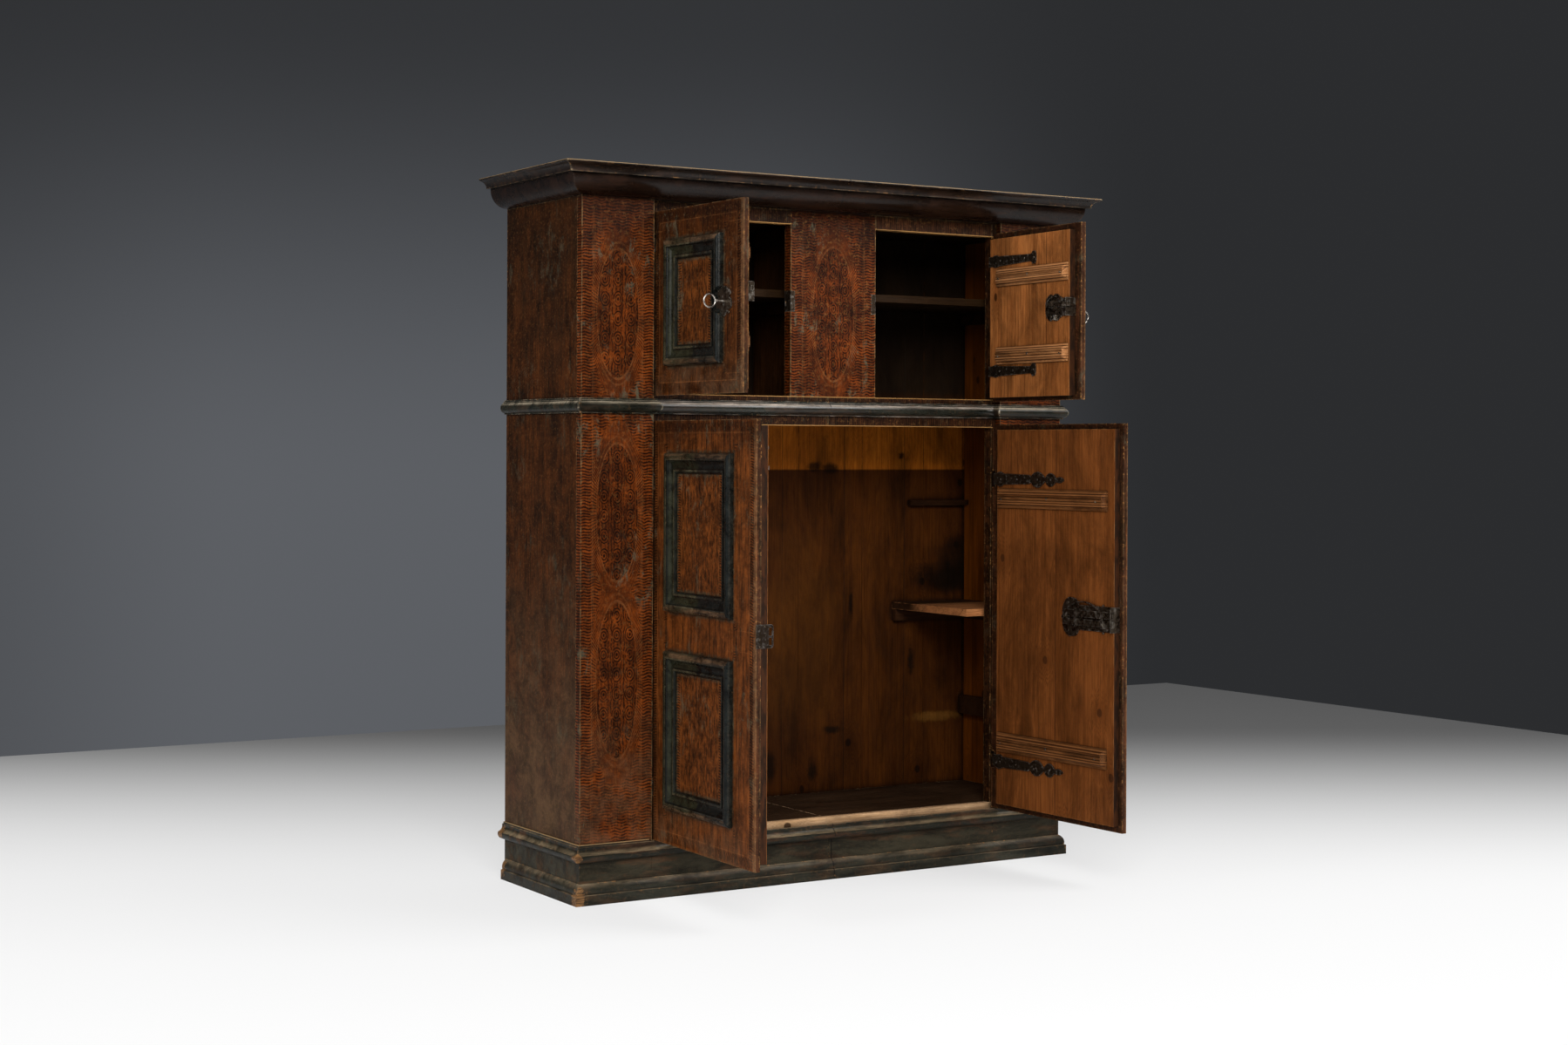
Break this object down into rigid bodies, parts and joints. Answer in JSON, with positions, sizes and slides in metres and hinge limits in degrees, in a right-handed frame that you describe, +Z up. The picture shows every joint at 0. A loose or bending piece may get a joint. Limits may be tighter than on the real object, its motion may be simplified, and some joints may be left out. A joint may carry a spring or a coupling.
{
  "type": "court cupboard",
  "caption": "Painted pine court cupboard with faux-grained boards, a moulded cornice and waist, lipped doors on iron strap hinges, rim locks and keys.",
  "frame": {"origin": "on the floor, at the middle of the closed carcass's width and depth, which is the middle of the middle bearer's underside", "axes": "+Z up, +X to the right along the front, +Y from the front to the back; the doors face -Y"},
  "size_m": [1.6862, 0.9797, 1.8602],
  "materials": {
    "grained_paint": "old combed and grained oil paint on pine, worn through in patches",
    "dark_paint": "dark green-brown paint, worn to bare wood on edges",
    "bare_pine": "unpainted aged pine, waxed by handling",
    "wrought_iron": "hand-forged black iron, slightly shiny on the high spots",
    "bright_iron": "iron rubbed bright by handling"
  },
  "bodies": {
    "carcass": {"side_panel_left": "grained_paint", "side_panel_right": "grained_paint", "corner_board_left": "grained_paint", "corner_board_right": "grained_paint", "back_boards": "bare_pine", "floor_boards": "bare_pine", "middle_deck": "bare_pine", "top_boards": "bare_pine", "jamb_stiles": "bare_pine", "middle_rails": "grained_paint", "top_rails": "grained_paint", "centre_board_left": "grained_paint", "centre_board_right": "grained_paint", "upper_partition": "bare_pine", "upper_shelves": "bare_pine", "lower_shelf": "bare_pine", "shelf_cleats": "bare_pine", "plinth_front_boards": "dark_paint", "plinth_side_boards": "dark_paint", "plinth_bearers": "bare_pine", "foot_moulding": "dark_paint", "base_moulding": "dark_paint", "waist_moulding_main": "dark_paint", "waist_moulding_corners": "dark_paint", "cornice_frame": "dark_paint", "cornice_cap": "dark_paint", "hinge_pintles": "wrought_iron", "keeper_plates": "wrought_iron"},
    "upper_left_door": {"upper_left_face_board": "grained_paint", "upper_left_inner_board": "bare_pine", "upper_left_panel_frames": "dark_paint", "upper_left_battens": "bare_pine", "upper_left_straps": "wrought_iron", "upper_left_escutcheon": "wrought_iron", "upper_left_lock": "wrought_iron"},
    "upper_right_door": {"upper_right_face_board": "grained_paint", "upper_right_inner_board": "bare_pine", "upper_right_panel_frames": "dark_paint", "upper_right_battens": "bare_pine", "upper_right_straps": "wrought_iron", "upper_right_escutcheon": "wrought_iron", "upper_right_lock": "wrought_iron"},
    "lower_left_door": {"lower_left_face_board": "grained_paint", "lower_left_inner_board": "bare_pine", "lower_left_panel_frames": "dark_paint", "lower_left_battens": "bare_pine", "lower_left_straps": "wrought_iron", "lower_left_strike": "wrought_iron"},
    "lower_right_door": {"lower_right_face_board": "grained_paint", "lower_right_inner_board": "bare_pine", "lower_right_panel_frames": "dark_paint", "lower_right_battens": "bare_pine", "lower_right_straps": "wrought_iron", "lower_right_lock": "wrought_iron"},
    "upper_left_bolt_body": {"upper_left_bolt": "wrought_iron"},
    "upper_left_key_body": {"upper_left_key": "bright_iron"},
    "upper_right_bolt_body": {"upper_right_bolt": "wrought_iron"},
    "upper_right_key_body": {"upper_right_key": "bright_iron"},
    "lower_right_bolts_body": {"lower_right_bolts": "wrought_iron"},
    "lower_left_hook_body": {"lower_left_hook": "wrought_iron"}
  },
  "joints": [
    {"name": "upper_left_hinge", "type": "hinge", "parent": "carcass", "child": "upper_left_door", "pos_m": [-0.55, -0.2105, 1.517], "axis": [0, 0, -1], "range_deg": [-88.7, 16.3]},
    {"name": "upper_right_hinge", "type": "hinge", "parent": "carcass", "child": "upper_right_door", "pos_m": [0.544, -0.2105, 1.517], "axis": [0, 0, 1], "range_deg": [-87.3, 17.7]},
    {"name": "lower_left_hinge", "type": "hinge", "parent": "carcass", "child": "lower_left_door", "pos_m": [-0.55, -0.2105, 0.683], "axis": [0, 0, -1], "range_deg": [-91.8, 13.2]},
    {"name": "lower_right_hinge", "type": "hinge", "parent": "carcass", "child": "lower_right_door", "pos_m": [0.544, -0.2105, 0.683], "axis": [0, 0, 1], "range_deg": [-91.9, 13.1]},
    {"name": "upper_left_key_turn", "type": "hinge", "parent": "upper_left_door", "child": "upper_left_key_body", "pos_m": [-0.5421, -0.55841, 1.506], "axis": [-0.9997, -0.0227, 0], "range_deg": [0, 150]},
    {"name": "upper_left_bolt_slide", "type": "slide", "parent": "upper_left_door", "child": "upper_left_bolt_body", "axis": [0.0227, -0.9997, 0], "range_m": [0, 0.014]},
    {"name": "upper_right_key_turn", "type": "hinge", "parent": "upper_right_door", "child": "upper_right_key_body", "pos_m": [0.5286, -0.53714, 1.506], "axis": [0.9989, -0.0471, 0], "range_deg": [0, 150]},
    {"name": "upper_right_bolt_slide", "type": "slide", "parent": "upper_right_door", "child": "upper_right_bolt_body", "axis": [-0.0471, -0.9989, 0], "range_m": [0, 0.014]},
    {"name": "lower_right_bolts_slide", "type": "slide", "parent": "lower_right_door", "child": "lower_right_bolts_body", "axis": [0.0332, -0.9995, 0], "range_m": [0, 0.024]},
    {"name": "lower_left_hook_swing", "type": "hinge", "parent": "lower_left_door", "child": "lower_left_hook_body", "pos_m": [-0.53327, -0.74629, 1.15], "axis": [0.9995, -0.0314, 0], "range_deg": [-80, 100]}
  ],
  "couplings": [
    {"joint": "upper_left_key_turn", "follows": "upper_left_bolt_slide", "rad_per_m": 186.99},
    {"joint": "upper_right_key_turn", "follows": "upper_right_bolt_slide", "rad_per_m": 186.99}
  ]
}
